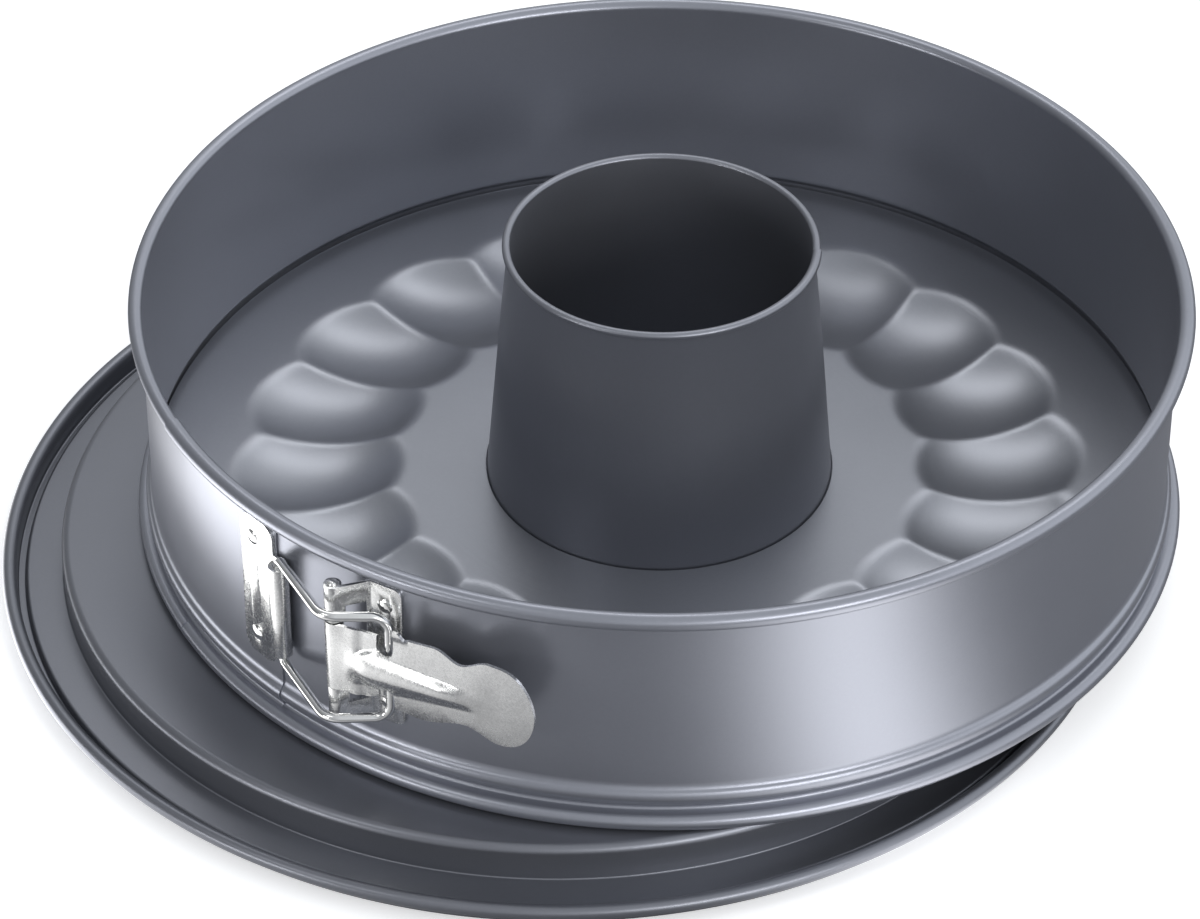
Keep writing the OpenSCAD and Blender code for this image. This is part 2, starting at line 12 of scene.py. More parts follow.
import bpy
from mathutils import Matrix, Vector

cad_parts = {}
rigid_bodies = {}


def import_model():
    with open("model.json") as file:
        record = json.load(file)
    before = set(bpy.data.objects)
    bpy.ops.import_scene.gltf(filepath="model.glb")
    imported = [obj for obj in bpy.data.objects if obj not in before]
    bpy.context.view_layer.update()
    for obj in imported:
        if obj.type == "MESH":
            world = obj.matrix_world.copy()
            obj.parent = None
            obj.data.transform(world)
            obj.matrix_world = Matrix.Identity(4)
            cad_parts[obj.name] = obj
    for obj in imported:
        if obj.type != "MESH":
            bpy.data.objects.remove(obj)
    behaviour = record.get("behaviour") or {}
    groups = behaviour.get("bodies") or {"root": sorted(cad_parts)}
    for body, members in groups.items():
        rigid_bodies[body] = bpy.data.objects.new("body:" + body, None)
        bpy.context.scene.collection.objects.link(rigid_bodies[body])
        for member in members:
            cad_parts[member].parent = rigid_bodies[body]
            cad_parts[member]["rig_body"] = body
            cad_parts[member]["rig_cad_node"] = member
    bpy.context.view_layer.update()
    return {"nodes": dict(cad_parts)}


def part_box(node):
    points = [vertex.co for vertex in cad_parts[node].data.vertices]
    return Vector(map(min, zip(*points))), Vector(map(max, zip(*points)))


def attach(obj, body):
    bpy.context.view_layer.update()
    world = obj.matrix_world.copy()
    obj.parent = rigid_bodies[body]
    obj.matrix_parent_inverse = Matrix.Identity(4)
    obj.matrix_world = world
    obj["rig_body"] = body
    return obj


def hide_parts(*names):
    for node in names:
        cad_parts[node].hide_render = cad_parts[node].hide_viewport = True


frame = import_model()
MM = 0.001
print("frame loaded:", len(frame["nodes"]), "nodes")

# %% [markdown]
# ## Places
#
# The set stands off centre: the pan is upright, but moved right and back over its flat base. The flat base
# is round all over, so its axis comes from its node's box. The pan's box is lopsided, because of the latch
# and the seams, so the pan's axis is given here, with the heights of its foot and of the latch's middle.

# %% The axes of the pan and of the flat base
base_low, base_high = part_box("flat_base")
base_x = (base_low[0] + base_high[0]) / 2 / MM
base_y = (base_low[1] + base_high[1]) / 2 / MM
pan_x = 18.825
pan_y = 10.975
pan_z = 13.8
latch_up = 41
latch_z = pan_z + latch_up
print("base axis", round(base_x, 2), round(base_y, 2), "pan axis", pan_x, pan_y)

# %% [markdown]
# ## Camera
#
# The photograph is taken from the front, looking down by 37.7 degrees, with a long lens, so the far rim
# looks almost as wide as the near one.

# %% Camera
camera_left = 16.5
camera_back = 1064.9
camera_up = 846.4
camera_tilt = 37.71
camera_data = bpy.data.cameras.new("camera")
camera_data.sensor_fit = "HORIZONTAL"
camera_data.sensor_width = 36
camera_data.lens = 144.7
camera_data.clip_end = 50
camera = bpy.data.objects.new("camera", camera_data)
camera.location = ((pan_x - camera_left) * MM, (pan_y - camera_back) * MM, camera_up * MM)
camera.rotation_euler = (math.radians(90 - camera_tilt), 0, 0)
bpy.context.scene.collection.objects.link(camera)
bpy.context.scene.camera = camera
print("camera", camera_up, "mm up, looking down by", camera_tilt, "degrees")


# %% [markdown]
# ## Shader sums
#
# A material is easier to read as a sum than as a net of boxes. `Value` wraps one output socket, and each
# Python operator on it adds the Math node it stands for. Any other node comes from `Finish.node`. A Finish
# holds the nodes of one material, or of the world.

# %% A small class for shader sums
class Value:
    def __init__(self, finish, socket):
        self.finish = finish
        self.socket = socket

    def math(self, operation, *values):
        return self.finish.node("ShaderNodeMath", {"operation": operation}, dict(enumerate(values)))

    def __add__(self, other):
        return self.math("ADD", self, other)

    def __sub__(self, other):
        return self.math("SUBTRACT", self, other)

    def __rsub__(self, other):
        return self.math("SUBTRACT", other, self)

    def __mul__(self, other):
        return self.math("MULTIPLY", self, other)

    def __truediv__(self, other):
        return self.math("DIVIDE", self, other)

    def __pow__(self, other):
        return self.math("POWER", self, other)

    __radd__ = __add__
    __rmul__ = __mul__


class Finish:
    def __init__(self, owner, shader="Principled BSDF"):
        owner.use_nodes = True
        self.owner = owner
        self.tree = owner.node_tree
        self.shader = self.tree.nodes[shader]

    def node(self, kind, settings=None, values=None, output=0):
        made = self.tree.nodes.new(kind)
        for key, value in (settings or {}).items():
            if key == "stops":
                self.set_stops(made.color_ramp, value)
            else:
                setattr(made, key, value)
        for key, value in (values or {}).items():
            self.feed(made.inputs[key], value)
        return Value(self, made.outputs[output])

    def set_stops(self, ramp, stops):
        while len(ramp.elements) < len(stops):
            ramp.elements.new(0.5)
        for element, (place, colour) in zip(ramp.elements, stops):
            element.position = place
            element.color = (*colour, 1)

    def feed(self, socket, value):
        if isinstance(value, Value):
            self.tree.links.new(value.socket, socket)
        else:
            socket.default_value = value

    def set(self, name, value):
        self.feed(self.shader.inputs[name], value)

    def position(self, centre=(0, 0, 0)):
        """Object coordinates in millimetres from the centre."""
        place = self.node("ShaderNodeTexCoord", output="Object")
        shift = [-c for c in centre]
        return self.node("ShaderNodeMapping", {}, {
            "Vector": place, "Location": shift, "Scale": [1 / MM] * 3})

    def noise(self, where, scale, detail=3.0, roughness=0.5):
        values = {"Vector": where, "Scale": scale, "Detail": detail, "Roughness": roughness}
        return self.node("ShaderNodeTexNoise", {}, values)

    def ramp(self, value, stops):
        return self.node("ShaderNodeValToRGB", {"stops": stops}, {"Fac": value})

    def bump(self, height, relief):
        """The relief is how far the surface stands out, in millimetres, at a height of 1."""
        self.set("Normal", self.node("ShaderNodeBump", {}, {
            "Height": height, "Distance": relief * MM, "Strength": 1.0}))


# %% [markdown]
# ## The dark coating
#
# The sheet is steel under a satin non-stick coating with metal flake in it. Seen close it has a fine
# grain, so the colour and the roughness change a little from place to place, and a shallow orange peel
# bends the highlights. Each noise has a size of its own: grain of a millimetre, clouds of some centimetres,
# and flake. A picture of the surface could be wrapped round each piece instead, but noise on object
# coordinates has no seams and stays sharp seen close. `turned` adds the faint rings that a spinning tool
# leaves round an axis.

# %% Coated sheet
coating_relief = 0.010


def coated_sheet(name, colour, centre, roughness=0.36, turned=0.0):
    finish = Finish(bpy.data.materials.new(name))
    place = finish.position(centre)
    grain = finish.noise(place, 0.9, 2.0) - 0.5
    cloud = finish.noise(place, 0.018, 3.0) - 0.5
    flake = finish.noise(place, 4.0, 1.0) - 0.5
    tone = grain * 0.10 + cloud * 0.22 + flake * 0.12 + 0.5
    dark = [c * 0.72 for c in colour]
    light = [c * 1.28 for c in colour]
    finish.set("Base Color", finish.ramp(tone, [(0.0, dark), (1.0, light)]))
    finish.set("Metallic", 0.78)
    finish.set("Roughness", cloud * 0.10 + grain * 0.06 + roughness)
    height = grain * 0.6 + flake * 0.4
    if turned:
        x = finish.node("ShaderNodeSeparateXYZ", {}, {"Vector": place}, output="X")
        y = finish.node("ShaderNodeSeparateXYZ", {}, {"Vector": place}, output="Y")
        radius = (x * x + y * y) ** 0.5
        rings = finish.node("ShaderNodeTexNoise", {"noise_dimensions": "1D"}, {
            "W": radius, "Scale": 0.55, "Detail": 4.0, "Roughness": 0.7})
        height = height + (rings - 0.5) * turned
    finish.bump(height, coating_relief)
    return finish.owner


pan_centre = (pan_x, pan_y, pan_z)
base_centre = (base_x, base_y, 0)
ring_coating = coated_sheet("ring_coating", (0.300, 0.310, 0.350), pan_centre, 0.33)
floor_coating = coated_sheet("floor_coating", (0.310, 0.320, 0.352), pan_centre, 0.34, turned=1.6)
tube_coating = coated_sheet("tube_coating", (0.250, 0.258, 0.290), pan_centre, 0.38)
base_coating = coated_sheet("base_coating", (0.200, 0.207, 0.232), base_centre, 0.36, turned=0.6)
print("coatings made")


# %% [markdown]
# ## Bright plate
#
# The latch is plated steel strip and wire. The plating is bright but not a mirror: it has fine specks,
# small dents and dull smudges from the press tools. The wire is drawn, so it has less of all three: `grain`
# says how much.

# %% Plated steel
plating_relief = 0.16


def plated_steel(name, colour=(0.80, 0.80, 0.79), roughness=0.25, grain=0.8):
    finish = Finish(bpy.data.materials.new(name))
    place = finish.position()
    speck = finish.noise(place, 1.5, 2.0, 0.7) - 0.5
    cloud = finish.noise(place, 0.10, 3.0, 0.6) - 0.5
    dents = finish.noise(place, 0.20, 1.0) - 0.5
    tone = speck * 0.9 * grain + cloud * 0.5 + 0.5
    dark = [c * 0.75 for c in colour]
    light = [min(1.0, c * 1.22) for c in colour]
    finish.set("Base Color", finish.ramp(tone, [(0.2, dark), (0.8, light)]))
    finish.set("Metallic", 1.0)
    finish.set("Roughness", speck * 0.3 * grain + cloud * 0.16 + roughness)
    finish.bump(speck * 0.12 * grain + dents * 0.7 * grain, plating_relief)
    return finish.owner


latch_plate = plated_steel("latch_plate")
latch_wire = plated_steel("latch_wire", (0.80, 0.80, 0.79), 0.15, 0.15)
print("plating made")


# %% [markdown]
# ## Bent sheet in section
#
# Every dark piece is one sheet with bends in it. Its section is written as a list of bends, each an arc
# about a point: (x, z, radius to the sheet's middle, first angle, last angle). Between two bends the
# sheet runs straight. A plain end is (x, z).

# %% The line through the middle of a sheet
def section(bends, step):
    """A bend gets a point about every `step` degrees."""
    points = []
    for bend in bends:
        if len(bend) == 2:
            points.append(bend)
            continue
        x, z, radius, first, last = bend
        count = max(3, math.ceil(abs(last - first) / step))
        for i in range(count + 1):
            angle = math.radians(first + (last - first) * i / count)
            points.append((x + radius * math.cos(angle), z + radius * math.sin(angle)))
    return points


def split_runs(points, longest):
    """Straight runs longer than this get points between, so that they shade evenly."""
    made = [points[0]]
    for a, b in zip(points, points[1:]):
        count = max(1, math.ceil(math.dist(a, b) / longest))
        made += [(a[0] + (b[0] - a[0]) * i / count, a[1] + (b[1] - a[1]) * i / count)
                 for i in range(1, count + 1)]
    return made


# %% [markdown]
# ## Rolling a sheet up
#
# A grid is a flat sheet of small squares. Its columns are laid at angles round an axis and its rows
# follow the section, which is what rolling the real sheet does. Spin would also make a round piece, but
# only with the same section all round, and the ring's section changes towards its lap.

# %% Select one piece, or all of its mesh
def select_none():
    bpy.ops.object.select_all(action="DESELECT")


def select_only(piece):
    select_none()
    piece.select_set(True)
    bpy.context.view_layer.objects.active = piece


def edit_all(piece):
    """Edit mode, with the whole mesh selected."""
    select_only(piece)
    bpy.ops.object.mode_set(mode="EDIT")
    bpy.ops.mesh.select_all(action="SELECT")


# %% Roll a grid round an axis
def roll_up(name, centre, angles, section_at, closed=True):
    """section_at(angle) gives the sheet's section there, with the same number of points at each angle.
    A closed piece has its first and last column merged."""
    rows = [section_at(angle) for angle in angles]
    select_none()
    bpy.ops.mesh.primitive_grid_add(x_subdivisions=len(angles) - 1, y_subdivisions=len(rows[0]) - 1)
    piece = bpy.context.object
    piece.name = name
    piece.data.name = name
    places = []
    for k in range(len(rows[0])):
        for angle, row in zip(angles, rows):
            turn = math.radians(angle)
            radius, height = row[k]
            places += [(centre[0] + radius * math.cos(turn)) * MM,
                       (centre[1] + radius * math.sin(turn)) * MM,
                       (centre[2] + height) * MM]
    piece.data.vertices.foreach_set("co", places)
    if closed:
        edit_all(piece)
        bpy.ops.mesh.remove_doubles(threshold=0.00001)
        bpy.ops.mesh.normals_make_consistent(inside=False)
        bpy.ops.object.mode_set(mode="OBJECT")
    return piece


# %% Give a sheet its thickness, and hand a finished piece over
def thicken(piece, thickness):
    select_only(piece)
    wall = piece.modifiers.new("sheet", "SOLIDIFY")
    wall.thickness = thickness * MM
    wall.offset = 0
    bpy.ops.object.modifier_apply(modifier=wall.name)
    bpy.ops.object.shade_smooth_by_angle(angle=math.radians(40))


def finish_piece(piece, material, body, slot, *nodes):
    piece.data.materials.clear()
    piece.data.materials.append(material)
    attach(piece, body)
    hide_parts(*nodes)
    print(piece.name, len(piece.data.polygons), "faces")


def full_turn(steps, start=0):
    return [start + 360 * i / steps for i in range(steps + 1)]


# %% [markdown]
# ## Flat base
#
# The loose flat base has a raised disc, a flat band where the ring's foot can stand, a narrow drip
# gutter and a curled rim. It is one pressed disc, so one section goes all the way round. Spin would do as
# well here, but rolling it up keeps one way for all the sheets.

# %% Flat base
base_t = 0.6
disc_r = 138.8
disc_h = 13.5
band_h = 2.9
gutter_in_r = disc_r + 10.5
gutter_out_r = gutter_in_r + 2.3
rim_curl_r = 2.0
rim_h = 7.2
fold = 0.8
disc_round = 2.1
base_section = section([
    (0.001, disc_h - base_t / 2),
    (60, disc_h - base_t / 2),
    (disc_r - base_t / 2 - disc_round, disc_h - base_t / 2 - disc_round, disc_round, 90, 0),
    (disc_r - base_t / 2 + fold, band_h - base_t / 2 + fold, fold, 180, 270),
    (gutter_in_r - base_t / 2 - fold, band_h - base_t / 2 - fold, fold, 90, 0),
    (gutter_in_r - base_t / 2 + fold, base_t / 2 + fold, fold, 180, 270),
    (gutter_out_r + base_t / 2 - fold, base_t / 2 + fold, fold, 270, 360),
    (gutter_out_r + rim_curl_r, rim_h - rim_curl_r, rim_curl_r - base_t / 2, 180, -130),
], 11)
base_section = split_runs(base_section, 12)
flat_base = roll_up("flat_base_sheet", base_centre, full_turn(300), lambda angle: base_section)
thicken(flat_base, base_t)
finish_piece(flat_base, base_coating, "base", "anthracite_coating", "flat_base")

# %% [markdown]
# ## Ring
#
# The ring is a long strip with both edges curled and a bead near the foot that grips the fluted base.
# Its two ends lap at the latch. One end keeps its place and its curls are wide; the strip then goes all
# the way round, draws out by one thickness of sheet and slims its curls, until it slips over the wall
# and into the curls of its own first end. Along the lap only its wall is left.

# %% Ring
ring_r = 140.0
ring_h = 70.6
ring_t = 0.5
curl_r = 2.15
curl_flare = 0.2
curl_tuck = 0.25
bead_out = 2.3
bead_round = 2.9
flare_round = 3.5
neck_round = 1.2
neck_out = 0.2
foot_curl_out = 2.8
lap_start = 205.8
lap_angle = 19.3
draw_from = 250
draw_run = 110
foot_curl_turn = 290
top_curl_turn = 310
curl_step = 12
flange_top = 2 * (curl_r + curl_flare)
neck_z = flange_top - ring_t / 2 + neck_round
bead_x = bead_out - ring_t / 2 - bead_round
neck_run = ring_t / 2 + neck_out + neck_round - bead_x
bead_z = neck_z + math.sqrt((bead_round + neck_round) ** 2 - neck_run ** 2)
flare_run = ring_t / 2 + flare_round - bead_x
flare_z = bead_z + math.sqrt((bead_round + flare_round) ** 2 - flare_run ** 2)
flare_angle = math.degrees(math.acos(flare_run / (bead_round + flare_round)))
neck_angle = math.degrees(math.acos(neck_run / (bead_round + neck_round)))
top_curl_z = ring_h - curl_r - curl_flare


def smooth_step(value):
    value = min(1.0, max(0.0, value))
    return value * value * (3 - 2 * value)


def ring_section(angle):
    drawn = smooth_step((angle - (lap_start + draw_from)) / draw_run)
    out = ring_t * drawn
    curl = curl_r + curl_flare - (curl_flare + curl_tuck) * drawn
    wall_r = ring_r + out
    return section([
        (wall_r + foot_curl_out, flange_top - curl, curl - ring_t / 2, 90 - foot_curl_turn, 90),
        (wall_r + ring_t / 2 + neck_out + neck_round, neck_z, neck_round, 270, 180 - neck_angle),
        (wall_r + bead_x, bead_z, bead_round, -neck_angle, flare_angle),
        (wall_r + ring_t / 2 + flare_round, flare_z, flare_round, 180 + flare_angle, 180),
        (wall_r + ring_t / 2, 30),
        (wall_r + ring_t / 2, 50),
        (wall_r + curl, top_curl_z, curl - ring_t / 2, 180, 180 - top_curl_turn),
    ], curl_step)


# %% Roll the strip, and cut the curls off its lap
turn_columns = 240
lap_columns = 14
ring_angles = [lap_start + 360 * i / turn_columns for i in range(turn_columns)]
ring_angles += [lap_start + 360 + lap_angle * i / lap_columns for i in range(lap_columns + 1)]
ring_band = roll_up("ring_band_sheet", pan_centre, ring_angles, ring_section, closed=False)
select_only(ring_band)
bpy.ops.object.mode_set(mode="EDIT")
bpy.ops.mesh.select_all(action="DESELECT")
bpy.ops.object.mode_set(mode="OBJECT")
columns = len(ring_angles) - 1
foot_rows = math.ceil(foot_curl_turn / curl_step) + 1
curl_rows = math.ceil(top_curl_turn / curl_step)
rows = len(ring_section(lap_start)) - 1
for face in ring_band.data.polygons:
    row, column = divmod(face.index, columns)
    face.select = column > turn_columns and (row < foot_rows or row >= rows - curl_rows)
bpy.ops.object.mode_set(mode="EDIT")
bpy.ops.mesh.delete(type="FACE")
bpy.ops.object.mode_set(mode="OBJECT")
thicken(ring_band, ring_t)
finish_piece(ring_band, ring_coating, "pan", "anthracite_coating", "ring_band")

# %% [markdown]
# ## Fluted base
#
# Twenty round hollows are pressed into the cake floor in a ring, side by side, so that the cake gets a
# fluted top. They run into each other in soft ridges, lean a little to one side, and their outer edges
# are rounded by the press. Twenty domes could be cut out of a plate, but the ridges between them would stay
# sharp. So a fine polar grid carries them as heights: each point takes the deeper of its two nearest
# hollows, with a soft change between the two, and the edge is blended with the flat floor.

# %% How deep the hollows are
plate_r = 141.2
floor_z = 8.6
plate_t = 0.6
lobe_count = 20
lobe_pitch_r = 95.0
lobe_half = 23.4
lobe_depth = 6.0
lobe_turn = 1.1
lobe_lean = -3.3
ridge_blend = 0.5
edge_blend = 1.1
lobe_round = (lobe_half ** 2 + lobe_depth ** 2) / (2 * lobe_depth)


def soft_max(a, b, blend):
    h = max(0.0, blend - abs(a - b)) / blend
    return max(a, b) + h * h * blend / 4


def hollow_drop(radius, angle):
    """How deep the sheet is pressed at this place."""
    lean = lobe_lean * (lobe_pitch_r - radius) / (2 * lobe_half) + lobe_turn
    pitch = 360 / lobe_count
    away = (angle - lean) / pitch
    away -= math.floor(away)
    drop = [0.0, 0.0]
    for k, turn in enumerate((away * pitch, (1 - away) * pitch)):
        across = radius * math.sin(math.radians(turn))
        along = radius * math.cos(math.radians(turn)) - lobe_pitch_r
        reach = lobe_round ** 2 - across ** 2 - along ** 2
        drop[k] = math.sqrt(max(reach, 0)) - (lobe_round - lobe_depth)
    return soft_max(soft_max(drop[0], drop[1], ridge_blend), 0.0, edge_blend)


# %% Heights of the fluted base, fine where the hollows are
floor_radii = [48.4, 52, 57, 62, 66]
floor_radii += [67.5 + 0.95 * i for i in range(58)]
floor_radii += [124.5, 129, 134, 138, plate_r]


def floor_section(angle):
    return [(radius, floor_z - plate_t / 2 - hollow_drop(radius, angle)) for radius in floor_radii]


fluted_base = roll_up("fluted_base_sheet", pan_centre, full_turn(480), floor_section)
thicken(fluted_base, plate_t)
finish_piece(fluted_base, floor_coating, "pan", "anthracite_coating", "fluted_base")

# %% [markdown]
# ## Centre tube
#
# The tube is a cone of sheet with a lapped seam, a small curl round its top and a flange crimped under
# the cake floor. A cone primitive is closed and has no seam, so this is rolled up as the ring is. Its last
# edge meets its first one and stands proud of it by about half a thickness, also in the curl, which shows
# as a small step on the right.

# %% Centre tube
tube_foot_r = 48.0
tube_top_r = 40.8
tube_h = 83.7
tube_curl_r = 1.1
seam_angle = -5.0
seam_step = 0.45
seam_curl_step = 0.18
seam_draw_from = 280
seam_draw_run = 75
tube_curl_z = tube_h - tube_curl_r
tube_lean = math.degrees(math.atan2(tube_foot_r - tube_top_r - plate_t, tube_curl_z - floor_z))
tube_bend = plate_t / 2 + 0.3
tube_flange_w = 4.5
tube_flange_z = floor_z - 1.5 * plate_t - 0.02


def tube_section(angle):
    """Towards its last edge the sheet draws out slowly, so that only the seam itself shows."""
    drawn = smooth_step((angle - (seam_angle + seam_draw_from)) / seam_draw_run)
    out = seam_step * plate_t * drawn
    curl = tube_curl_r + seam_curl_step * drawn
    return section([
        (tube_foot_r + tube_flange_w, tube_flange_z),
        (tube_foot_r - plate_t / 2 + tube_bend, tube_flange_z + tube_bend, tube_bend, 270, 180 - tube_lean),
        (tube_foot_r - plate_t / 2 + out - 0.6, 15),
        (tube_top_r + plate_t / 2 + out + 2.2, 60),
        (tube_top_r + out + tube_curl_r, tube_curl_z, curl - plate_t / 2, 180 - tube_lean, -140),
    ], 12)


tube_angles = full_turn(180, seam_angle)
centre_tube = roll_up("centre_tube_sheet", pan_centre, tube_angles, tube_section, closed=False)
thicken(centre_tube, plate_t)
finish_piece(centre_tube, tube_coating, "pan", "anthracite_coating", "centre_tube")


# %% [markdown]
# ## Latch plates, pin and rivets
#
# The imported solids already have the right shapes, down to the knuckle and the window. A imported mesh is
# loose triangles, so each piece starts as a merged copy, and its sharp edges are broken by a small bevel
# that catches the light as the tumbled edges of real pressings do.

# %% Break the edges of a piece
def break_edges(piece, width):
    select_only(piece)
    edge = piece.modifiers.new("edge", "BEVEL")
    edge.width = width * MM
    edge.segments = 2
    edge.limit_method = "ANGLE"
    edge.angle_limit = math.radians(50)
    edge.use_clamp_overlap = True
    bpy.ops.object.modifier_apply(modifier=edge.name)
    bpy.ops.object.shade_smooth_by_angle(angle=math.radians(35))


# %% Merged copies of the CAD solids, with broken edges
def tumbled_copy(node, width, material):
    piece = frame["nodes"][node].copy()
    piece.data = frame["nodes"][node].data.copy()
    piece.parent = None
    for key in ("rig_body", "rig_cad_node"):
        if key in piece:
            del piece[key]
    piece.name = node + "_pressing"
    bpy.context.scene.collection.objects.link(piece)
    edit_all(piece)
    bpy.ops.mesh.remove_doubles(threshold=0.000005)
    bpy.ops.mesh.dissolve_limited(angle_limit=math.radians(1))
    bpy.ops.object.mode_set(mode="OBJECT")
    break_edges(piece, width)
    finish_piece(piece, material, "pan", "plated_steel", node)


for node in ("hinge_plate", "bracket", "pivot_pin"):
    tumbled_copy(node, 0.14, latch_plate)
for node in ("hinge_rivet_upper", "hinge_rivet_lower", "bracket_rivet_upper", "bracket_rivet_lower"):
    tumbled_copy(node, 0.12, latch_wire)

# %% [markdown]
# ## Lever
#
# The lever is one strip of plate. It is rolled round the pin at one end; from there it runs along the
# wall, necks down between two notches for the wire, and ends in a thumb pad. A rib is pressed along its
# middle to stiffen it, and beside the notches the corners are pressed back to guide the wire. A grid is
# laid out in the lever's own directions: along it, outwards from the wall, and up.

# %% Places of the latch in plan, from the pan's axis
def polar(radius, angle):
    return (radius * math.cos(math.radians(angle)), radius * math.sin(math.radians(angle)))


pin_at = polar(147.3, 235.2)
lever_dir = -26.3
latch_t = 0.9
barrel_mid = 2.02
wire_r = 1.3
catch_at = 15.5


def between(points, place):
    """The value at a place, on smooth waves through (place, value) points."""
    for (a, low), (b, high) in zip(points, points[1:]):
        if place <= b:
            return low + (high - low) * smooth_step((place - a) / (b - a))
    return points[-1][1]


def lever_point(along, out, up):
    x, y = polar(along, lever_dir)
    across_x, across_y = polar(out, lever_dir - 90)
    return ((pan_x + pin_at[0] + x + across_x) * MM,
            (pan_y + pin_at[1] + y + across_y) * MM,
            (latch_z + up) * MM)


# %% The lever's outline: how far it reaches up and down, along its length
barrel_half = 10.7
lever_top = [(0, barrel_half), (13.2, barrel_half), (14.4, 14.5), (19.6, 14.5), (21.4, 12.4), (29.6, 12.8),
             (37.0, 10.1), (44.8, 13.0), (47, 12.9)]
lever_foot = [(0, barrel_half), (9.5, barrel_half), (12.9, 9.2), (14.4, 11.2), (18.5, 11.2), (25.5, 12.0),
              (38.5, 8.8), (47.5, 12.0)]
lever_len = 58.0


def pad_round(points, along):
    """Half height of the lever; past its last place the pad closes in an oval."""
    start, high = points[-1]
    if along <= start:
        return between(points, along)
    run = (along - start) / (lever_len - start)
    return max(0.5, high * max(0.0, 1 - run ** 2.3) ** 0.56)


# %% The lever's pressed relief
def lever_relief(along, up):
    """How far the strip stands out from its flat middle: rib, crown, guides, lip and thumb pad."""
    rib_run = smooth_step((along - 3) / 8) * (1 - smooth_step((along - 31) / 13))
    rib_half = 6.4 - 2.6 * smooth_step((along - 8) / 30)
    rib_off = (up + 0.7 - 0.02 * along) / rib_half
    rib = 1.7 * rib_run * max(0.0, 1 - rib_off * rib_off) ** 1.5
    crown = -up * up / 190 * smooth_step(along / 4)
    guide = 0.0
    for side, depth in ((1, 0.5), (-1, 0.9)):
        line = side * up - (2.6 + (along - 7.5) * 0.52)
        guide -= depth * smooth_step(line / 1.3) * smooth_step((along - 6.5) / 2.2) * (along < 15)
    lip = 1.1 * smooth_step((up - 10.6) / 3.6) * (15 < along < 22)
    pad = 0.35 * smooth_step((along - 40) / 8) * (1 - (up / 12) ** 2)
    return rib + crown + guide + lip - pad


# %% Roll and press the lever
roll = [392 - 302 * i / 26 for i in range(26)]
stations = [12 * i / 14 for i in range(15)]
stations += [12 + 0.4 * i for i in range(1, 26)]
stations += [22 + 0.8 * i for i in range(1, 33)]
stations += [47.6 + (lever_len - 47.6) * math.sin(math.pi * i / 28) for i in range(1, 15)]
lever_rows = 41
select_none()
bpy.ops.mesh.primitive_grid_add(x_subdivisions=len(roll) + len(stations) - 1, y_subdivisions=lever_rows - 1)
lever = bpy.context.object
lever.name = "lever_strip"
places = []
for k in range(lever_rows):
    share = k / (lever_rows - 1)
    for angle in roll:
        x, y = polar(barrel_mid, angle)
        places += lever_point(x, y, barrel_half * (2 * share - 1))
    for along in stations:
        up = pad_round(lever_top, along) * share - pad_round(lever_foot, along) * (1 - share)
        places += lever_point(along, barrel_mid + lever_relief(along, up), up)
lever.data.vertices.foreach_set("co", places)
edit_all(lever)
bpy.ops.mesh.normals_make_consistent(inside=False)
bpy.ops.object.mode_set(mode="OBJECT")
plate = lever.modifiers.new("plate", "SOLIDIFY")
plate.thickness = latch_t * MM
plate.offset = 0
bpy.ops.object.modifier_apply(modifier=plate.name)

# %% [markdown]
# The notches are punched: a round punch gives the rounded end, and a wide block behind it opens the slot
# to the edge. Each is a boolean cut, and the punch is deleted afterwards.

# %% Punch the notches and break the edges
notch_half = 2.5
neck_half = 5.2
punch_reach = 16


def punch(piece, tool):
    select_only(piece)
    cut = piece.modifiers.new("punch", "BOOLEAN")
    cut.operation = "DIFFERENCE"
    cut.solver = "EXACT"
    cut.object = tool
    bpy.ops.object.modifier_apply(modifier=cut.name)
    bpy.data.objects.remove(tool)


for side in (1, -1):
    notch_up = side * (neck_half + notch_half)
    select_none()
    bpy.ops.mesh.primitive_cylinder_add(vertices=40, radius=notch_half * MM, depth=punch_reach * MM,
                                        location=lever_point(catch_at, barrel_mid, notch_up),
                                        rotation=(math.pi / 2, 0, math.radians(lever_dir)))
    punch(lever, bpy.context.object)
    block_up = notch_up + side * punch_reach / 2
    select_none()
    bpy.ops.mesh.primitive_cube_add(size=1, location=lever_point(catch_at, barrel_mid, block_up),
                                    rotation=(0, 0, math.radians(lever_dir)))
    bpy.context.object.scale = (2 * notch_half * MM, punch_reach * MM, punch_reach * MM)
    punch(lever, bpy.context.object)

break_edges(lever, 0.16)
finish_piece(lever, latch_plate, "lever", "plated_steel", "lever")

# %% [markdown]
# ## Bail
#
# The bail is one length of round wire, bent where its arms leave the knuckle, at the elbow and where they
# turn into the lever's notches. A bend of real wire is a smooth curve, so its path is drawn as points,
# rounded, and given its thickness as a bevelled curve, which then becomes a mesh.

# %% Path of the bail
knuckle_at = polar(143.77, 226.5)
elbow_at = polar(154.4, 235.8)
wire_room = 0.8
catch_back = barrel_mid - latch_t / 2 - wire_r - wire_room
catch_ahead = polar(catch_at, lever_dir)
catch_out = polar(catch_back, lever_dir - 90)
catch_point = [p + a + b for p, a, b in zip(pin_at, catch_ahead, catch_out)]
corner_points = 9


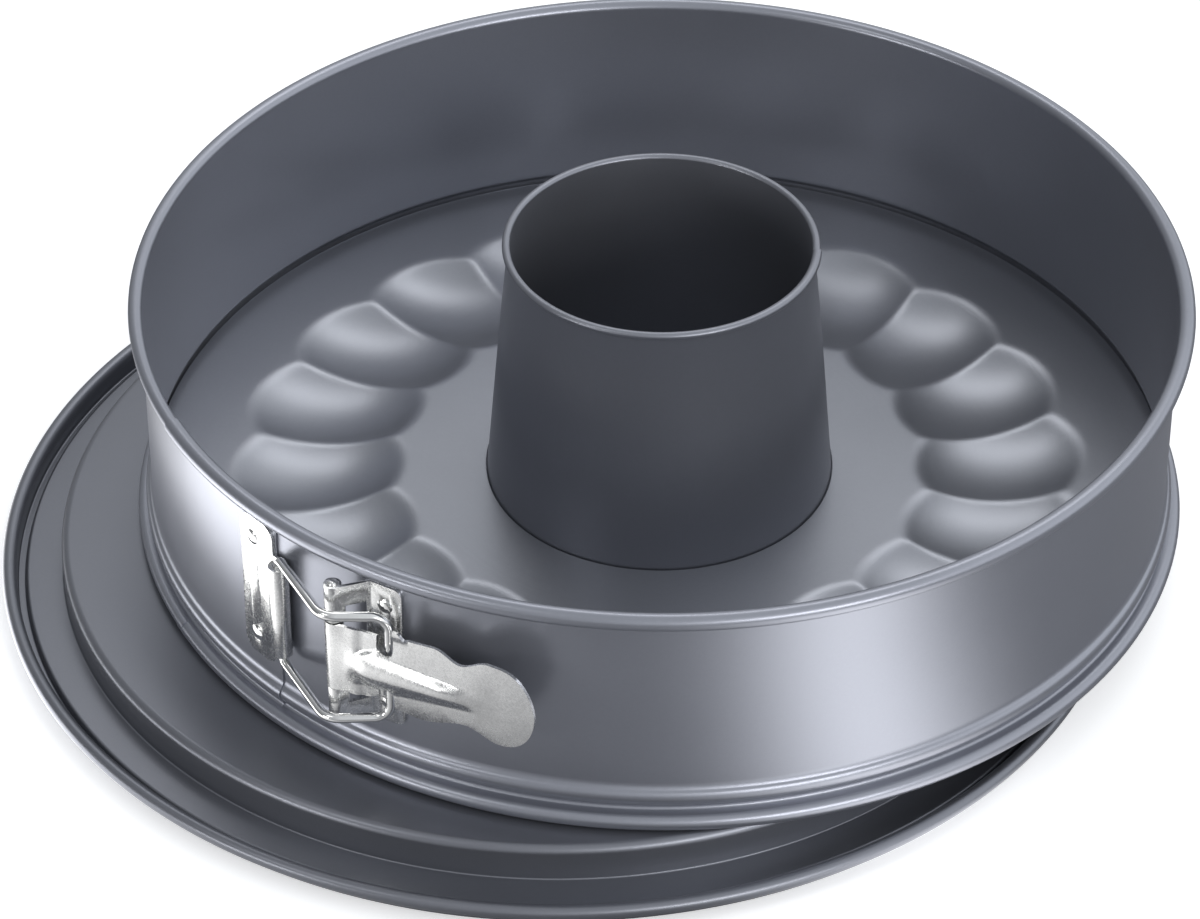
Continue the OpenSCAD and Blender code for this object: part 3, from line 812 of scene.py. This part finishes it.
def round_corner(before, corner, after, radius):
    """Points on an arc that cuts a corner of the path."""
    back = [b - c for b, c in zip(before, corner)]
    ahead = [a - c for a, c in zip(after, corner)]
    back = [v / math.hypot(*back) for v in back]
    ahead = [v / math.hypot(*ahead) for v in ahead]
    half = math.acos(max(-1, min(1, sum(a * b for a, b in zip(back, ahead))))) / 2
    reach = radius / math.tan(half)
    middle = [b + a for a, b in zip(back, ahead)]
    scale = radius / math.sin(half) / math.hypot(*middle)
    centre = [c + v * scale for c, v in zip(corner, middle)]
    start = [c + b * reach - m for c, b, m in zip(corner, back, centre)]
    end = [c + a * reach - m for c, a, m in zip(corner, ahead, centre)]
    sweep = math.pi - 2 * half
    points = []
    for i in range(corner_points):
        turn = sweep * i / (corner_points - 1)
        one = math.sin(sweep - turn) / math.sin(sweep)
        two = math.sin(turn) / math.sin(sweep)
        points.append([m + s * one + e * two for m, s, e in zip(centre, start, end)])
    return points


corners = [((*knuckle_at, 17.0), 2.6), ((*elbow_at, 16.9), 6.0), ((*catch_point, 16.6), 4.6),
           ((*catch_point, -16.8), 4.6), ((*elbow_at, -16.9), 6.0), ((*knuckle_at, -17.0), 2.6)]
wire_path = []
for k, (corner, radius) in enumerate(corners):
    wire_path += round_corner(corners[k - 1][0], corner, corners[(k + 1) % len(corners)][0], radius)

# %% Wire along the path
spline_data = bpy.data.curves.new("bail_wire", "CURVE")
spline_data.dimensions = "3D"
spline_data.bevel_depth = wire_r * MM
spline_data.bevel_resolution = 6
spline = spline_data.splines.new("POLY")
spline.points.add(len(wire_path) - 1)
for point, (x, y, up) in zip(spline.points, wire_path):
    point.co = ((pan_x + x) * MM, (pan_y + y) * MM, (latch_z + up) * MM, 1)
spline.use_cyclic_u = True
bail = bpy.data.objects.new("bail_wire", spline_data)
bpy.context.scene.collection.objects.link(bail)
select_only(bail)
bpy.ops.object.convert(target="MESH")
bail = bpy.context.object
bpy.ops.object.shade_smooth()
finish_piece(bail, latch_wire, "bail", "plated_steel", "bail")

# %% [markdown]
# ## Floor
#
# The set stands on white. The walls' deep grey and their bright bands are painted reflections: the floor is
# white to the camera and in the light that it gives back, but painted dark grey where it is seen in
# reflections. There it also glows in two fans, which paint one bright upright band on the right of the
# outer wall and a softer one on the left, and in a faint third one, which paints a highlight on the latch.
# A fan is the cosine of the angle from its middle line, raised to a power: the higher the power, the
# narrower the fan.

# %% Floor
select_none()
bpy.ops.mesh.primitive_plane_add(size=16, location=(0, 0, -0.0004))
floor = bpy.context.object
floor.name = "studio_floor"
paper = Finish(bpy.data.materials.new("studio_paper"))
camera_sees = paper.node("ShaderNodeLightPath", output="Is Camera Ray")
mirrored = paper.node("ShaderNodeLightPath", output="Is Glossy Ray")
floor_place = paper.position((pan_x, pan_y, 0))


def fan_of_light(azimuth, power, near, far):
    """1 on the fan's middle line up to near, and 0 past far, both in millimetres from the pan's axis."""
    line = (*polar(1, azimuth), 0)
    radius = paper.node("ShaderNodeVectorMath", {"operation": "LENGTH"}, {0: floor_place}, output="Value")
    along = paper.node("ShaderNodeVectorMath", {"operation": "DOT_PRODUCT"}, {0: floor_place, 1: line},
                       output="Value")
    fan = paper.node("ShaderNodeMath", {"operation": "MAXIMUM"}, {0: along / radius, 1: 0.0}) ** power
    ends = paper.node("ShaderNodeMapRange", {"interpolation_type": "SMOOTHSTEP"}, {
        "Value": radius, "From Min": far, "From Max": near})
    return fan * ends


white_paper = (0.92, 0.92, 0.92)
paper_painted_dark_in_reflections = (0.24, 0.24, 0.25)
# Painted shade in reflections: the floor's colour turns dark grey only for glossy rays.
paper.set("Base Color", paper.ramp(mirrored, [(0.0, white_paper), (1.0, paper_painted_dark_in_reflections)]))
paper.set("Roughness", 0.9)
paper.set("Specular IOR Level", 0.0)
paper.set("Emission Color", (1, 1, 1, 1))
# Painted reflections: these fans glow only for glossy rays, painting bright bands on the walls and latch.
painted_reflection_fans = fan_of_light(298, 30, 260, 700) * 2.3
painted_reflection_fans = painted_reflection_fans + fan_of_light(197, 12, 240, 800) * 4.2
painted_reflection_fans = painted_reflection_fans + fan_of_light(237, 30, 260, 500) * 0.3
paper.set("Emission Strength", camera_sees * 0.4 + mirrored * painted_reflection_fans)
floor.data.materials.append(paper.owner)
print("floor made")

# %% [markdown]
# ## Lamps and world
#
# Four soft lamps stand round the set. The top one, high and a little behind, draws the hollows' rims. The
# left one is low, so that it lights the latch's rib and wire and not the far side of the pan. The front one
# stands to the right, and lights the tube and the left half of the inside. The high one draws the line
# along the ring's upper curl. The world is plain too: dim on the left and brighter on the right.

# %% Lamps
lamps_aim_at = (0, 0, 0.04)


def soft_lamp(name, place, size, power):
    data = bpy.data.lights.new(name, "AREA")
    data.shape = "RECTANGLE"
    data.size, data.size_y = size
    data.energy = power
    lamp = bpy.data.objects.new(name, data)
    lamp.location = place
    bpy.context.scene.collection.objects.link(lamp)
    aim = [t - p for t, p in zip(lamps_aim_at, place)]
    flat = math.hypot(aim[0], aim[1])
    lamp.rotation_euler = (math.atan2(flat, -aim[2]), 0, math.atan2(-aim[0], aim[1]))
    print(name, power, "W")


soft_lamp("lamp_top", (0.2, 1.0, 1.6), (1.7, 0.5), 5.6)
soft_lamp("lamp_left", (-1.5, -1.1, 0.3), (0.7, 0.3), 5.0)
soft_lamp("lamp_front", (0.9, -1.6, 0.7), (0.9, 0.5), 9.0)
soft_lamp("lamp_high", (-0.9, -0.7, 1.2), (0.45, 0.45), 1.6)

# %% World
left_strength = 0.2
right_strength = 1.3
sky = Finish(bpy.data.worlds.new("studio"), "Background")
bpy.context.scene.world = sky.owner
direction = sky.node("ShaderNodeTexCoord", output="Generated")
rightwards = sky.node("ShaderNodeSeparateXYZ", {}, {"Vector": direction}, output="X")
sky.set("Color", (0.93, 0.96, 1.0, 1))
sky.set("Strength", sky.node("ShaderNodeMapRange", {}, {
    "Value": rightwards, "From Min": -1.0, "To Min": left_strength, "To Max": right_strength}))
bpy.context.scene.view_settings.view_transform = "Standard"
print("world from", left_strength, "to", right_strength)
